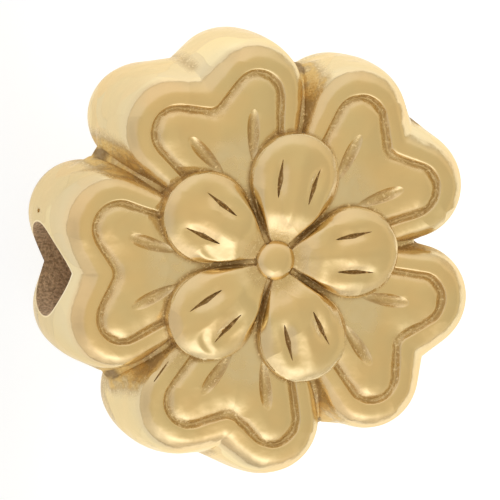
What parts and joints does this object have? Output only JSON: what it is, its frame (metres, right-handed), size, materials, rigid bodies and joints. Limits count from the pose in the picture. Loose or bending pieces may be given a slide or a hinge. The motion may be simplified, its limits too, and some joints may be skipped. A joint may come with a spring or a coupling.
{
  "type": "flower bead",
  "caption": "Flat cast metal spacer bead with heart-shaped outer petals, a domed inner flower and centre ball on both faces, and a round thread hole from edge to edge.",
  "frame": {"origin": "middle of the bead, on the thread hole's axis at mid thickness", "axes": "+Z is the face's normal, so the bead lies flat face up; the thread runs along X, in at the notch of the heart petal on -X and out between the two petals on +X; +Y completes the frame"},
  "size_m": [0.0097, 0.01, 0.0044],
  "materials": {
    "gold_metal": "satin-polished pale gold plating, darker in the engraved lines and rough in the thread hole"
  },
  "bodies": {
    "root": {"flower_bead": "gold_metal"}
  },
  "joints": []
}
